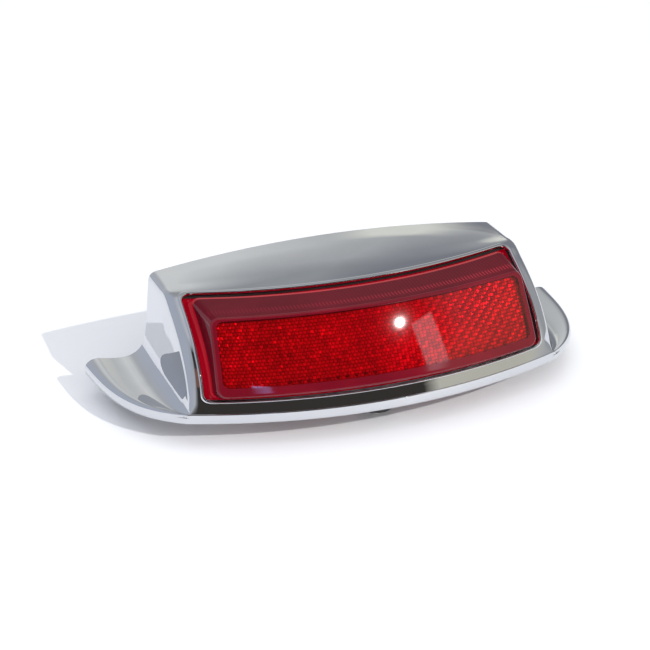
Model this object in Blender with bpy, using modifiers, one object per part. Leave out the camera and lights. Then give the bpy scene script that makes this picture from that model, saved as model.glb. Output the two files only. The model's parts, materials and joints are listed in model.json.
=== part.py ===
"""Fender-tip tail light: chrome housing, red wedge lens, bulbs, tray and mounting bolts.

Metres, +Z up, lens towards -Y, the open rear towards +Y. The part stands on its three bolt tips.
"""
import bpy
import bmesh
import math
import numpy as np
from mathutils import Matrix, Vector

MM = 0.001
Y_SHIFT = 34.9           # puts the middle of the depth on Y = 0

# ---- housing skin: one value per profile station, from the rear edge to the lip ----
ROOF_STEPS = 3
FRONT_STEPS = 7
FRONT_STEP = (7.2, 5.6)    # distance between the front's stations, at the brow and at its foot
LIP_Z_FRONT = 13.35


def section(rear_z, brow_y, brow_z, roof_power, slopes, steepening, lip_y):
    """Y and Z stations of one fore-and-aft line: a crowned roof to the brow, then a front that steepens.

    slopes are the front's angles in degrees at the brow and at its foot.
    """
    ys = [-brow_y * k / ROOF_STEPS for k in range(ROOF_STEPS + 1)]
    zs = [rear_z + (brow_z - rear_z) * (k / ROOF_STEPS) ** roof_power for k in range(ROOF_STEPS + 1)]
    for k in range(FRONT_STEPS):
        far = k / (FRONT_STEPS - 1)
        angle = math.radians(slopes[0] + (slopes[1] - slopes[0]) * far ** steepening)
        step = FRONT_STEP[0] + (FRONT_STEP[1] - FRONT_STEP[0]) * far
        ys.append(ys[-1] - step * math.cos(angle))
        zs.append(zs[-1] - step * math.sin(angle))
    foot_y, foot_z = ys[-1], zs[-1]
    for k in (0.5, 1.0):
        ys.append(foot_y + (lip_y - foot_y) * k)
        zs.append(foot_z + (LIP_Z_FRONT - foot_z) * k)
    return ys, zs


def fade(start, end, power):
    """Stations that leave start slowly and reach end at the lip."""
    count = ROOF_STEPS + FRONT_STEPS + 2
    return [start + (end - start) * (k / count) ** power for k in range(count + 1)]


MID_Y, MID_Z = section(51.4, 34.9, 46.8, 2.3, (28.0, 67.0), 1.7, -69.2)
SIDE_Y, SIDE_Z = section(46.1, 21.8, 46.9, 1.0, (26.5, 70.0), 1.6, -55.0)
SIDE_X = fade(71.2, 72.8, 2.5)
WALL_X = fade(74.3, 72.8, 4.0)
WALL_Z = fade(10.6, 13.35, 2.2)
LIP_Y = [v - 55.0 for v in reversed(fade(0.0, 55.0, 1.69))]
LIP_HALF_WIDTH = 92.8    # inner line of the lip, at the rear
LIP_DEPTH = 69.1
LIP_POWER = 3.0
LIP_Z_REAR = 14.0
LIP_FRONT = (0.45, 1.95, 0.5)    # how far the lip bulges out, half its height, and how square it is
LIP_REAR = (5.2, 4.2, 0.9)
EDGE_ROUND = 3.0
SCOOP_UP = 10.0
SCOOP_OUT = 12.5
WALL = 1.5

# ---- lens opening, as station and across fractions of the crown ----
OPEN_S = (3.0, 10.0)
OPEN_T = 0.932

# ---- lens ----
BASE_S = (3.2, 9.75)
BASE_T = 0.89
FLANGE_S = (2.62, 10.33)
FLANGE_T = 0.955
FACE_TOP = (61.8, -46.2, 45.7, -54.2)       # half width, side y, z, middle y
FACE_BOTTOM = (63.6, -60.2, 20.6, -69.8)
FACE_IN = (0.0, 0.849, -0.528)              # straight in behind the lens face
LENS_WALL = 1.4
GASKET_S = (2.93, 10.08)
GASKET_T = 0.937
REFLEX_Q = (0.04, 0.88)
REFLEX_T = 0.968

# ---- tray frame: w runs down along the lens opening, h stands out of it ----
TRAY_Y, TRAY_Z = -34.9, 46.8
W_DIR = (-0.757, -0.653)
H_DIR = (-0.653, 0.757)
TRAY_H = -17.0
TRAY_THICK = 1.6
SOCKET_X = 33.0
SOCKET_W = 14.0
EAR_W = (-2.0, 22.0)
EAR_X = 64.5

# ---- mounting bolts: place in plan, and the height of the lug's underside ----
BOLTS = {"front": (0.0, -54.0, 10.2), "left": (-62.0, -8.0, 14.2), "right": (62.0, -8.0, 14.2)}
BOLT_RADIUS = 2.5

# ---- colour, roughness and metallic value of each material ----
FINISHES = {
    "chrome_plate": ((0.78, 0.79, 0.81), 0.04, 1.0),
    "lens_red": ((0.55, 0.0, 0.03), 0.06, 0.0),
    "reflex_red": ((0.75, 0.02, 0.04), 0.22, 0.0),
    "black_rubber": ((0.03, 0.03, 0.03), 0.7, 0.0),
    "tray_white": ((0.85, 0.85, 0.83), 0.4, 0.0),
    "connector_nylon": ((0.75, 0.73, 0.66), 0.45, 0.0),
    "socket_black": ((0.04, 0.04, 0.045), 0.45, 0.0),
    "bulb_base": ((0.55, 0.53, 0.5), 0.35, 0.0),
    "bulb_glass": ((0.95, 0.95, 0.95), 0.02, 0.0),
    "filament": ((0.35, 0.34, 0.33), 0.4, 1.0),
    "contact_brass": ((0.75, 0.6, 0.28), 0.3, 1.0),
    "lead_jacket": ((0.05, 0.05, 0.055), 0.5, 0.0),
    "zinc_steel": ((0.62, 0.63, 0.65), 0.3, 1.0),
}


# ---- scene, collections and materials ----

def clear_scene():
    for obj in list(bpy.data.objects):
        bpy.data.objects.remove(obj, do_unlink=True)


def new_collection(name):
    collection = bpy.data.collections.new(name)
    bpy.context.scene.collection.children.link(collection)
    return collection


def finish(obj, material, angle=40):
    """Gives the object its material and smooth shading with crisp edges above the angle."""
    mat = bpy.data.materials.get(material)
    if mat is None:
        colour, roughness, metallic = FINISHES[material]
        mat = bpy.data.materials.new(material)
        mat.use_nodes = True
        shader = mat.node_tree.nodes["Principled BSDF"]
        shader.inputs["Base Color"].default_value = (*colour, 1.0)
        shader.inputs["Roughness"].default_value = roughness
        shader.inputs["Metallic"].default_value = metallic
    obj.data.materials.clear()
    obj.data.materials.append(mat)
    if obj.type == "MESH":
        obj.data.shade_smooth()
        obj.data.set_sharp_from_angle(angle=math.radians(angle))
    return obj


def new_object(name, data, matrix=None, cutter=False):
    obj = bpy.data.objects.new(name, data)
    (CUTTERS if cutter else PARTS).objects.link(obj)
    if matrix is not None:
        obj.matrix_world = matrix
    if cutter:
        obj.hide_render = True
        obj.display_type = "WIRE"
    return obj


def apply_modifiers(obj):
    graph = bpy.context.evaluated_depsgraph_get()
    mesh = bpy.data.meshes.new_from_object(obj.evaluated_get(graph))
    obj.modifiers.clear()
    obj.data = mesh
    return obj


def boolean(obj, other, operation):
    """Cuts other from obj or joins it on, and removes it."""
    mod = obj.modifiers.new(operation.lower(), "BOOLEAN")
    mod.operation = operation
    mod.solver = "EXACT"
    mod.object = other
    apply_modifiers(obj)
    bpy.data.objects.remove(other, do_unlink=True)
    return obj


# ---- primitives and turned shapes, in millimetres about their own origin ----

def block(name, size, matrix, chamfer=0.0, cutter=False):
    bm = bmesh.new()
    bmesh.ops.create_cube(bm, size=1.0)
    bmesh.ops.scale(bm, vec=Vector(size) * MM, verts=bm.verts)
    if chamfer:
        bmesh.ops.bevel(bm, geom=list(bm.edges), offset=chamfer * MM, segments=1, affect="EDGES")
    mesh = bpy.data.meshes.new(name)
    bm.to_mesh(mesh)
    bm.free()
    return new_object(name, mesh, matrix, cutter)


def rod(name, radius, z0, z1, sides, matrix, cutter=False):
    """Cylinder, or with six sides a hexagon, from z0 to z1."""
    bm = bmesh.new()
    bmesh.ops.create_cone(bm, cap_ends=True, segments=sides, radius1=radius * MM, radius2=radius * MM,
                          depth=(z1 - z0) * MM)
    bmesh.ops.translate(bm, vec=(0, 0, (z0 + z1) / 2 * MM), verts=bm.verts)
    mesh = bpy.data.meshes.new(name)
    bm.to_mesh(mesh)
    bm.free()
    return new_object(name, mesh, matrix, cutter)


def turned(name, profile, sides, matrix, closed=False):
    """Screw of a profile of (radius, height) points that runs down the outer side, top to bottom."""
    mesh = bpy.data.meshes.new(name)
    last = len(profile) - 1
    edges = [(k, k + 1) for k in range(last)]
    if closed:
        edges.append((last, 0))
    mesh.from_pydata([(r * MM, 0, z * MM) for r, z in profile], edges, [])
    obj = new_object(name, mesh, matrix)
    mod = obj.modifiers.new("turn", "SCREW")
    mod.axis = "Z"
    mod.steps = sides
    mod.render_steps = sides
    mod.use_merge_vertices = True
    mod.merge_threshold = 0.00001
    apply_modifiers(obj)
    bm = bmesh.new()
    bm.from_mesh(obj.data)
    bmesh.ops.remove_doubles(bm, verts=bm.verts, dist=0.00001)
    bmesh.ops.recalc_face_normals(bm, faces=bm.faces)
    bm.to_mesh(obj.data)
    bm.free()
    return obj


def wire(name, centres, radius, material, parent=None):
    """Poly curve through the points, in millimetres of its parent's frame or of the row."""
    curve = bpy.data.curves.new(name, "CURVE")
    curve.dimensions = "3D"
    curve.bevel_depth = radius * MM
    curve.bevel_resolution = 2
    curve.use_fill_caps = True
    spline = curve.splines.new("POLY")
    spline.points.add(len(centres) - 1)
    for point, centre in zip(spline.points, centres):
        point.co = (*[c * MM for c in centre], 1.0)
    obj = new_object(name, curve)
    obj.parent = parent
    return finish(obj, material)


# ---- places ----

def world(p):
    return Vector((p[0] * MM, (p[1] + Y_SHIFT) * MM, p[2] * MM))


def tray_point(x, w, h):
    """Millimetre point from tray coordinates."""
    return np.array([x, TRAY_Y + W_DIR[0] * w + H_DIR[0] * h, TRAY_Z + W_DIR[1] * w + H_DIR[1] * h])


def tray_matrix(x, w, h):
    """Frame whose Z stands out of the lens opening, Y runs up it and X is the part's X."""
    up = Vector((0, H_DIR[0], H_DIR[1]))
    right = Vector((1, 0, 0))
    rot = Matrix((right, up.cross(right), up)).transposed().to_4x4()
    return Matrix.Translation(world(tray_point(x, w, h))) @ rot


def level_matrix(x, y, z):
    return Matrix.Translation(world((x, y, z)))


def lifted(matrix, x=0.0, y=0.0, z=0.0, turn=0.0):
    """The frame turned about its own Z, then moved by millimetres along its own axes."""
    return matrix @ Matrix.Rotation(math.radians(turn), 4, "Z") @ Matrix.Translation((x * MM, y * MM, z * MM))


# ---- the crown, the housing's upper skin ----

def smooth_table(table, s):
    """Catmull-Rom value of a station table at fractional station s."""
    last = len(table) - 1
    i = min(int(math.floor(s)), last - 1)
    f = s - i
    p1, p2 = table[i], table[i + 1]
    p0 = table[i - 1] if i > 0 else 2 * p1 - p2
    p3 = table[i + 2] if i + 2 <= last else 2 * p2 - p1
    return 0.5 * (2 * p1 + (p2 - p0) * f + (2 * p0 - 5 * p1 + 4 * p2 - p3) * f * f
                  + (3 * p1 - p0 - 3 * p2 + p3) * f ** 3)


def crown(s, t):
    """Point of the crown: station s from the rear edge down to the lip, t from -1 to 1 across."""
    my, mz = smooth_table(MID_Y, s), smooth_table(MID_Z, s)
    sy, sz = smooth_table(SIDE_Y, s), smooth_table(SIDE_Z, s)
    f = t * t
    return np.array([smooth_table(SIDE_X, s) * t, my + (sy - my) * f, mz + (sz - mz) * f])


def crown_in(s, t, depth):
    """The crown point moved inwards by depth."""
    e = 0.02
    a = crown(min(s + e, 12.0), t) - crown(max(s - e, 0.0), t)
    b = crown(s, t + e) - crown(s, t - e)
    n = unit(np.cross(b, a))
    if n[2] - n[1] < 0:
        n = -n
    return crown(s, t) - n * depth


def unit(v):
    return v / np.linalg.norm(v)


def bend(a, corner, b, steps):
    """Quadratic curve from a to b that rounds the corner."""
    return [(1 - k) ** 2 * a + 2 * k * (1 - k) * corner + k * k * b for k in np.linspace(0, 1, steps)]


def lip_line(s):
    """Inner line of the lip beside station s, on the +X side."""
    if s >= 12.0:
        return crown(12.0, 1.0)
    y = smooth_table(LIP_Y, s)
    x = LIP_HALF_WIDTH * (1 - (abs(y) / LIP_DEPTH) ** LIP_POWER) ** (1 / LIP_POWER)
    z = LIP_Z_FRONT + (LIP_Z_REAR - LIP_Z_FRONT) * max(0.0, 1 - abs(y) / 40)
    return np.array([x, y, z])


def side_section(s):
    """Skin from the crown's rounded edge down the wall, round the scoop and out to the lip, at +X."""
    edge = crown(s, 1.0)
    along = unit(edge - crown(s, 0.96))
    lip = lip_line(s)
    foot = np.array([smooth_table(WALL_X, s), (edge[1] + lip[1]) / 2, smooth_table(WALL_Z, s)])
    fall, run = np.linalg.norm(foot - edge), np.linalg.norm(lip - foot)
    down = (foot - edge) / max(fall, 1e-6)
    out = (lip - foot) / max(run, 1e-6)
    r_edge = min(EDGE_ROUND, 0.4 * fall)
    r_up = min(SCOOP_UP, 0.95 * (fall - r_edge))
    r_out = min(SCOOP_OUT, 0.65 * run)
    points = bend(edge - along * EDGE_ROUND, edge, edge + down * r_edge, 3)
    points += [edge + down * (r_edge + (fall - r_edge - r_up) * 0.5)]
    points += bend(foot - down * r_up, foot, foot + out * r_out, 5)
    points += [lip]
    return points


def lip_section(p, normal, steps):
    """Rounded lip from the lip line outwards and under, fuller and rounder towards the wings."""
    rear = max(0.0, 1 - abs(p[1]) / 54.0)
    out, down, square = (a + (b - a) * rear for a, b in zip(LIP_FRONT, LIP_REAR))
    points = [p]
    for k in np.linspace(0, math.pi, steps)[1:]:
        bulge = out * max(0.0, math.sin(k)) ** square
        points.append(p + normal * bulge - np.array([0, 0, down * (1 - math.cos(k))]))
    return points


def mirrored(points):
    return [np.array([-p[0], p[1], p[2]]) for p in points]


# ---- lofts ----

def add_grid(points, faces, grid, skip=None, flip=False):
    """Quads over a grid of points, leaving out the cells for which skip(i, j) is true."""
    start = len(points)
    rows, cols = len(grid), len(grid[0])
    for row in grid:
        points.extend(row)
    for i in range(rows - 1):
        for j in range(cols - 1):
            if skip and skip(i, j):
                continue
            a = start + i * cols + j
            quad = (a, a + 1, a + cols + 1, a + cols)
            faces.append(quad[::-1] if flip else quad)


def loft(name, points, faces, towards, weld=0.00001):
    """Open sheet from lofted points, facing the given direction so that Solidify thickens it inwards."""
    mesh = bpy.data.meshes.new(name)
    mesh.from_pydata([world(p) for p in points], [], faces)
    bm = bmesh.new()
    bm.from_mesh(mesh)
    bmesh.ops.remove_doubles(bm, verts=bm.verts, dist=weld)
    bmesh.ops.dissolve_degenerate(bm, edges=bm.edges, dist=weld)
    bmesh.ops.recalc_face_normals(bm, faces=bm.faces)
    if sum((f.normal * f.calc_area() for f in bm.faces), Vector()).dot(Vector(towards)) < 0:
        bmesh.ops.reverse_faces(bm, faces=bm.faces)
    bm.to_mesh(mesh)
    bm.free()
    return new_object(name, mesh)


def solidify(obj, thickness, even=True):
    mod = obj.modifiers.new("wall", "SOLIDIFY")
    mod.thickness = thickness * MM
    mod.offset = -1
    mod.use_even_offset = even
    mod.use_rim = True
    return apply_modifiers(obj)


# ---- housing ----

def lip_path(sections, crown_row):
    """Lip line from the +X rear corner round the front to the -X rear corner, with its plan normals."""
    right = [section[-1] for section in sections] + sections[-1][::-1]
    front = crown_row[len(crown_row) - 2:0:-1]
    path = []
    for p in right + front + mirrored(right[::-1]):
        if not path or np.linalg.norm(p - path[-1]) > 0.05:
            path.append(p)
    last = len(path) - 1
    normals = []
    for k in range(last + 1):
        ahead = path[min(k + 1, last)] - path[max(k - 1, 0)]
        normals.append(unit(np.array([-ahead[1], ahead[0], 0.0])))
    normals[0], normals[last] = np.array([1.0, 0.0, 0.0]), np.array([-1.0, 0.0, 0.0])
    for _ in range(4):
        middle = [unit(normals[k - 1] + normals[k] + normals[k + 1]) for k in range(1, last)]
        normals = [normals[0]] + middle + [normals[last]]
    return path, normals


def housing_skin():
    """Crown with the lens opening left out, side walls with their scoops, and the lip."""
    stations = list(np.arange(0, 12.01, 0.5))
    inner = np.linspace(0, OPEN_T, 8)
    fractions = [-v for v in inner[:0:-1]] + list(inner)
    sections = [side_section(s) for s in stations]
    rows = []
    for s, section in zip(stations, sections):
        rows.append(mirrored([section[0]]) + [crown(s, t) for t in fractions] + [section[0]])

    def in_opening(i, j):
        return OPEN_S[0] <= stations[i] < OPEN_S[1] and 1 <= j < len(fractions)
    points, faces = [], []
    add_grid(points, faces, rows, in_opening)
    add_grid(points, faces, sections)
    add_grid(points, faces, [mirrored(section) for section in sections], flip=True)
    path, normals = lip_path(sections, rows[-1])
    add_grid(points, faces, [lip_section(p, normal, 7) for p, normal in zip(path, normals)], flip=True)
    return loft("chrome_housing", points, faces, (0, -0.5, 1), 0.00002)


def housing():
    shell = solidify(housing_skin(), WALL, False)
    rear = Y_SHIFT * MM
    for vertex in shell.data.vertices:
        vertex.co.y = min(vertex.co.y, rear)
    for sign in (-1, 1):
        for w in EAR_W:
            reach = 71.2 if w < 0 else 72.3
            ear = block("ear", (reach - 60.1, 7.0, 2.2), tray_matrix(sign * (reach + 60.1) / 2, w, TRAY_H + 1.4),
                        cutter=True)
            hole = rod("ear_hole", 1.8, -6, 6, 12, tray_matrix(sign * EAR_X, w, TRAY_H + 1.55), True)
            boolean(shell, boolean(ear, hole, "DIFFERENCE"), "UNION")
    for name, (x, y, seat) in BOLTS.items():
        if name == "front":
            size, centre = (14.0, 21.4, 3.6), (0.0, -58.1)
        else:
            size, centre = (17.9, 12.0, 3.6), (math.copysign(64.95, x), y)
        lug = block("lug", size, level_matrix(centre[0], centre[1], seat + 1.8), cutter=True)
        hole = rod("lug_hole", 3.2, -6, 6, 16, level_matrix(x, y, seat + 1.8), True)
        boolean(shell, boolean(lug, hole, "DIFFERENCE"), "UNION")
    return finish(shell, "chrome_plate")


# ---- lens, gasket and reflex insert ----

def face_point(q, t, depth=0.0):
    """Lens front face: q from top to bottom, t from -1 to 1 across."""
    x = (FACE_TOP[0] + (FACE_BOTTOM[0] - FACE_TOP[0]) * q) * t
    side_y = FACE_TOP[1] + (FACE_BOTTOM[1] - FACE_TOP[1]) * q
    mid_y = FACE_TOP[3] + (FACE_BOTTOM[3] - FACE_TOP[3]) * q
    z = FACE_TOP[2] + (FACE_BOTTOM[2] - FACE_TOP[2]) * q
    return np.array([x, mid_y + (side_y - mid_y) * t * t, z]) + np.array(FACE_IN) * depth


def loop(point_at, low, high, half, cols=18, rows=8):
    """Closed loop of points round a rectangle of (first, across) parameters."""
    ts = np.linspace(-half, half, cols + 1)
    ss = np.linspace(low, high, rows + 1)
    points = [point_at(low, t) for t in ts[:-1]]
    points += [point_at(s, half) for s in ss[:-1]]
    points += [point_at(high, t) for t in ts[:0:-1]]
    points += [point_at(s, -half) for s in ss[:0:-1]]
    return points + points[:1]


OUTWARD = (0.0, H_DIR[0], H_DIR[1])


def lens():
    """Flange, upstand and walls as rings, closed by the curved face."""
    rings = [loop(lambda s, t: crown_in(s, t, 3.1), FLANGE_S[0], FLANGE_S[1], FLANGE_T),
             loop(lambda s, t: crown_in(s, t, 3.1), BASE_S[0], BASE_S[1], BASE_T),
             loop(lambda s, t: crown_in(s, t, -0.2), BASE_S[0], BASE_S[1], BASE_T),
             loop(face_point, 0.0, 1.0, 1.0)]
    points, faces = [], []
    add_grid(points, faces, rings)
    add_grid(points, faces, [[face_point(q, t) for t in np.linspace(-1, 1, 19)] for q in np.linspace(0, 1, 9)])
    return finish(solidify(loft("red_lens", points, faces, OUTWARD), LENS_WALL), "lens_red")


def gasket():
    rings = [loop(lambda s, t: crown_in(s, t, 1.85), FLANGE_S[0], FLANGE_S[1], FLANGE_T),
             loop(lambda s, t: crown_in(s, t, 1.85), GASKET_S[0], GASKET_S[1], GASKET_T)]
    points, faces = [], []
    add_grid(points, faces, rings)
    return finish(solidify(loft("lens_gasket", points, faces, OUTWARD), 0.9), "black_rubber")


def reflex():
    rows = np.linspace(REFLEX_Q[0], REFLEX_Q[1], 6)
    cols = np.linspace(-REFLEX_T, REFLEX_T, 19)
    points, faces = [], []
    add_grid(points, faces, [[face_point(q, t, 1.8) for t in cols] for q in rows])
    return finish(solidify(loft("reflex_reflector", points, faces, OUTWARD), 1.4), "reflex_red")


# ---- tray, sockets and bulbs ----

def tray():
    middle = TRAY_H - TRAY_THICK / 2
    plate = block("lamp_tray", (137.0, 36.0, TRAY_THICK), tray_matrix(0, 9.0, middle))
    for sign in (-1, 1):
        spot = tray_matrix(sign * SOCKET_X, SOCKET_W, middle)
        boolean(plate, rod("socket_hole", 7.6, -3, 3, 28, spot, True), "DIFFERENCE")
        boolean(plate, block("notch", (20.0, 3.6, 6.0), lifted(spot, turn=45), cutter=True), "DIFFERENCE")
        for w in EAR_W:
            hole = rod("screw_hole", 1.8, -3, 3, 12, tray_matrix(sign * EAR_X, w, middle), True)
            boolean(plate, hole, "DIFFERENCE")
    return finish(plate, "tray_white")


def tray_screws():
    profile = [(0, 2.6), (1.5, 2.6), (1.5, -1.9), (3.0, -1.9), (3.0, -2.9), (2.4, -3.8), (0, -3.8)]
    for side, sign in (("left", -1), ("right", 1)):
        for level, w in (("upper", EAR_W[0]), ("lower", EAR_W[1])):
            spot = tray_matrix(sign * EAR_X, w, TRAY_H)
            finish(turned("tray_screw_" + side + "_" + level, profile, 12, spot), "zinc_steel")


SOCKET_PROFILE = [(0, -7.4), (6.0, -7.4), (6.0, 2.0), (7.2, 2.0), (7.2, -3.0), (10.2, -3.0), (10.2, -5.0),
                  (6.3, -5.0), (6.3, -10.8), (5.0, -12.0), (0, -12.0)]
SEAL_PROFILE = [(7.6, -1.9), (9.8, -1.9), (9.8, -2.7), (7.6, -2.7)]
GLASS_PROFILE = [(0, 16.6), (2.1, 16.0), (3.6, 14.5), (4.3, 12.4), (4.3, 4.7), (3.0, 3.2), (3.6, 2.9),
                 (4.9, 4.4), (4.9, 12.5), (4.2, 14.9), (2.4, 16.6), (0, 17.2)]


def filament_points():
    """Two upright legs and a short coil between them, about the socket's axis."""
    points = []
    for k in range(25):
        a = k / 24
        if a < 0.25:
            points.append((-2.0, 0.0, 3.0 + 24.0 * a))
        elif a > 0.75:
            points.append((2.0, 0.0, 9.0 - 24.0 * (a - 0.75)))
        else:
            m = (a - 0.25) / 0.5
            points.append((-2.0 + 4.0 * m, 0.45 * math.sin(m * 6 * math.pi), 9.6 + 0.45 * math.sin(m * math.pi)))
    return points


def socket(side, sign):
    """Bulb holder with its seal, bulb and contacts, all about an empty on the twist axis."""
    spot = tray_matrix(sign * SOCKET_X, SOCKET_W, TRAY_H)
    axis = new_object("socket_" + side + "_axis", None, spot)
    body = turned("bulb_socket_" + side, SOCKET_PROFILE, 28, spot)
    for turn in (0, 180):
        boolean(body, block("lug", (2.9, 2.8, 1.4), lifted(spot, x=8.0, z=1.0, turn=turn), cutter=True), "UNION")
    pieces = [finish(body, "socket_black")]
    pieces.append(finish(turned("socket_seal_" + side, SEAL_PROFILE, 28, spot, True), "black_rubber"))
    base = block("bulb_base_" + side, (8.6, 4.6, 9.6), lifted(spot, z=-2.2), 0.5)
    pieces.append(finish(base, "bulb_base"))
    for which, y in (("upper", 2.95), ("lower", -2.95)):
        contact = block("contact_" + which + "_" + side, (4.0, 0.5, 8.0), lifted(spot, y=y, z=-2.9))
        pieces.append(finish(contact, "contact_brass"))
    pieces.append(finish(turned("bulb_glass_" + side, GLASS_PROFILE, 20, spot), "bulb_glass"))
    bpy.context.view_layer.update()
    for piece in pieces:
        place = piece.matrix_world.copy()
        piece.parent = axis
        piece.matrix_world = place
    wire("bulb_filament_" + side, filament_points(), 0.22, "filament", axis)


def leads():
    """Short leads from each holder's back to the connector block."""
    for side, sign in (("left", -1), ("right", 1)):
        start = np.array([sign * SOCKET_X, TRAY_H - 12.6])
        corners = [start, start + np.array([0, -3.1]), np.array([sign * 24.0, TRAY_H - 15.9]),
                   np.array([sign * 14.0, TRAY_H - 5.6]), np.array([sign * 7.9, TRAY_H - 5.2])]
        last = len(corners) - 1
        centres = []
        for u in np.linspace(0, 1, 13):
            p = sum(math.comb(last, i) * (1 - u) ** (last - i) * u ** i * c for i, c in enumerate(corners))
            centre = tray_point(p[0], SOCKET_W, p[1])
            centres.append((centre[0], centre[1] + Y_SHIFT, centre[2]))
        wire("lead_" + side, centres, 1.1, "lead_jacket")
    connector = block("lead_connector", (14.6, 9.0, 6.0), tray_matrix(0, SOCKET_W, TRAY_H - 5.2), 0.8)
    finish(connector, "connector_nylon")


# ---- mounting bolts ----

def mount_set(name, x, y, seat):
    """Bolt clamped to a lug by a washer and thin nut, over a rubber isolator that rests on the fender.

    The lug's underside is at seat and the bolt's tip at z = 0.
    """
    spot = level_matrix(x, y, 0)
    top = seat + 3.6
    head = [(0, top + 3.3), (3.9, top + 3.3), (4.5, top + 2.7), (4.5, top + 0.3), (BOLT_RADIUS, top + 0.3),
            (BOLT_RADIUS, 0.6), (1.9, 0.0), (0, 0.0)]
    finish(turned("mount_bolt_" + name, head, 24, spot), "zinc_steel")
    washer = rod("mount_washer_" + name, 6.4, seat - 1.3, seat - 0.3, 20, spot)
    boolean(washer, rod("bore", 2.9, seat - 12, seat + 2, 20, spot, True), "DIFFERENCE")
    finish(washer, "zinc_steel")
    nut = rod("mount_nut_" + name, 4.6, seat - 4.3, seat - 1.6, 6, spot)
    boolean(nut, rod("bore", 2.85, seat - 12, seat + 2, 18, spot, True), "DIFFERENCE")
    finish(nut, "zinc_steel")
    ring = [(3.0, seat - 4.6), (7.0, seat - 4.6), (7.0, seat - 6.5), (6.4, seat - 7.0), (3.0, seat - 7.0)]
    finish(turned("mount_isolator_" + name, ring, 20, spot, True), "black_rubber")


clear_scene()
PARTS = new_collection("fender_tip_tail_light")
CUTTERS = new_collection("cutters")
housing()
gasket()
lens()
reflex()
tray()
tray_screws()
socket("left", -1)
socket("right", 1)
leads()
for bolt, (bolt_x, bolt_y, bolt_seat) in BOLTS.items():
    mount_set(bolt, bolt_x, bolt_y, bolt_seat)
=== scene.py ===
"""Fender-tip tail light: fine plated housing, red wedge lens, fittings, floor, light and camera.

Lengths are millimetres in the frame whose Y = 0 is the housing's rear rim; place() turns them into metres.
"""

import bpy
import bmesh
import json
import math
import numpy as np
from mathutils import Matrix, Vector


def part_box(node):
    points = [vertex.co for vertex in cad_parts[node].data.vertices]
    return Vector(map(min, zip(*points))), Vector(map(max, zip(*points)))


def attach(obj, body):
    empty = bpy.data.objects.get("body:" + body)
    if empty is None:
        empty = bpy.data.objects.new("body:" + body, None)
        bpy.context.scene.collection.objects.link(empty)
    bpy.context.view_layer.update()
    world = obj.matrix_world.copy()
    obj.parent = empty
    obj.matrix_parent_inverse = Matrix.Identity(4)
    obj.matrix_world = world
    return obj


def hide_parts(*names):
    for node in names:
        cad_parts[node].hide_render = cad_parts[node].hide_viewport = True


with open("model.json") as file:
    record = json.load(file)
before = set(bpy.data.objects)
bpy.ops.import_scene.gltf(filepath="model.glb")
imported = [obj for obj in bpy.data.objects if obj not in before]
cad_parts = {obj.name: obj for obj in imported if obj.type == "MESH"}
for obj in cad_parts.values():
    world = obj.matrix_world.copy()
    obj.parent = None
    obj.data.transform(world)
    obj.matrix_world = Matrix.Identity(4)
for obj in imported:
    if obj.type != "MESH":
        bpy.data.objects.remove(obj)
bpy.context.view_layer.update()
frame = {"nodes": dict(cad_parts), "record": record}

MM = 0.001
REAR_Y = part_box("chrome_housing")[1].y / MM  # the rear rim in the row frame, in millimetres

# ---- housing skin: one value per profile station, from the rear edge to the lip ----
ROOF_STEPS = 3
FRONT_STEPS = 7
FRONT_STEP = (7.2, 5.6)  # distance between the front's stations, at the brow and at its foot
LIP_Z_FRONT = 13.35


def section(rear_z, brow_y, brow_z, roof_power, slopes, steepening, lip_y):
    """Y and Z stations of one fore-and-aft line: a crowned roof to the brow, then a front that steepens.

    slopes are the front's angles in degrees at the brow and at its foot.
    """
    ys = [-brow_y * k / ROOF_STEPS for k in range(ROOF_STEPS + 1)]
    zs = [rear_z + (brow_z - rear_z) * (k / ROOF_STEPS) ** roof_power for k in range(ROOF_STEPS + 1)]
    for k in range(FRONT_STEPS):
        far = k / (FRONT_STEPS - 1)
        angle = math.radians(slopes[0] + (slopes[1] - slopes[0]) * far ** steepening)
        step = FRONT_STEP[0] + (FRONT_STEP[1] - FRONT_STEP[0]) * far
        ys.append(ys[-1] - step * math.cos(angle))
        zs.append(zs[-1] - step * math.sin(angle))
    foot_y, foot_z = ys[-1], zs[-1]
    for k in (0.5, 1.0):
        ys.append(foot_y + (lip_y - foot_y) * k)
        zs.append(foot_z + (LIP_Z_FRONT - foot_z) * k)
    return ys, zs


def fade(start, end, power):
    """Stations that leave start slowly and reach end at the lip."""
    count = ROOF_STEPS + FRONT_STEPS + 2
    return [start + (end - start) * (k / count) ** power for k in range(count + 1)]


MID_Y, MID_Z = section(51.4, 34.9, 46.8, 2.3, (28.0, 67.0), 1.7, -69.2)
SIDE_Y, SIDE_Z = section(46.1, 21.8, 46.9, 1.0, (26.5, 70.0), 1.6, -55.0)
SIDE_X = fade(71.2, 72.8, 2.5)
WALL_X = fade(74.3, 72.8, 4.0)
WALL_Z = fade(10.6, 13.35, 2.2)
LIP_Y = [v - 55.0 for v in reversed(fade(0.0, 55.0, 1.69))]
LIP_HALF_WIDTH = 92.8
LIP_DEPTH = 69.1
LIP_POWER = 3.0
LIP_Z_REAR = 14.0
LIP_FRONT = (0.45, 1.95, 0.5)  # how far the lip bulges out, half its height, and how square it is
LIP_REAR = (5.2, 4.2, 0.9)
EDGE_ROUND = 3.0
SCOOP_UP = 10.0
SCOOP_OUT = 12.5
WALL = 1.5
LAST = 12.0

# ---- lens opening and lens ----
OPEN_S = (3.0, 10.0)
OPEN_T = 0.932
BEAD_WIDTH = 1.1
BEAD_RISE = 0.38
BASE_S = (3.34, 9.75)
BASE_T = 0.888
FLANGE_S = (2.66, 10.29)
FLANGE_T = 0.953
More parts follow.
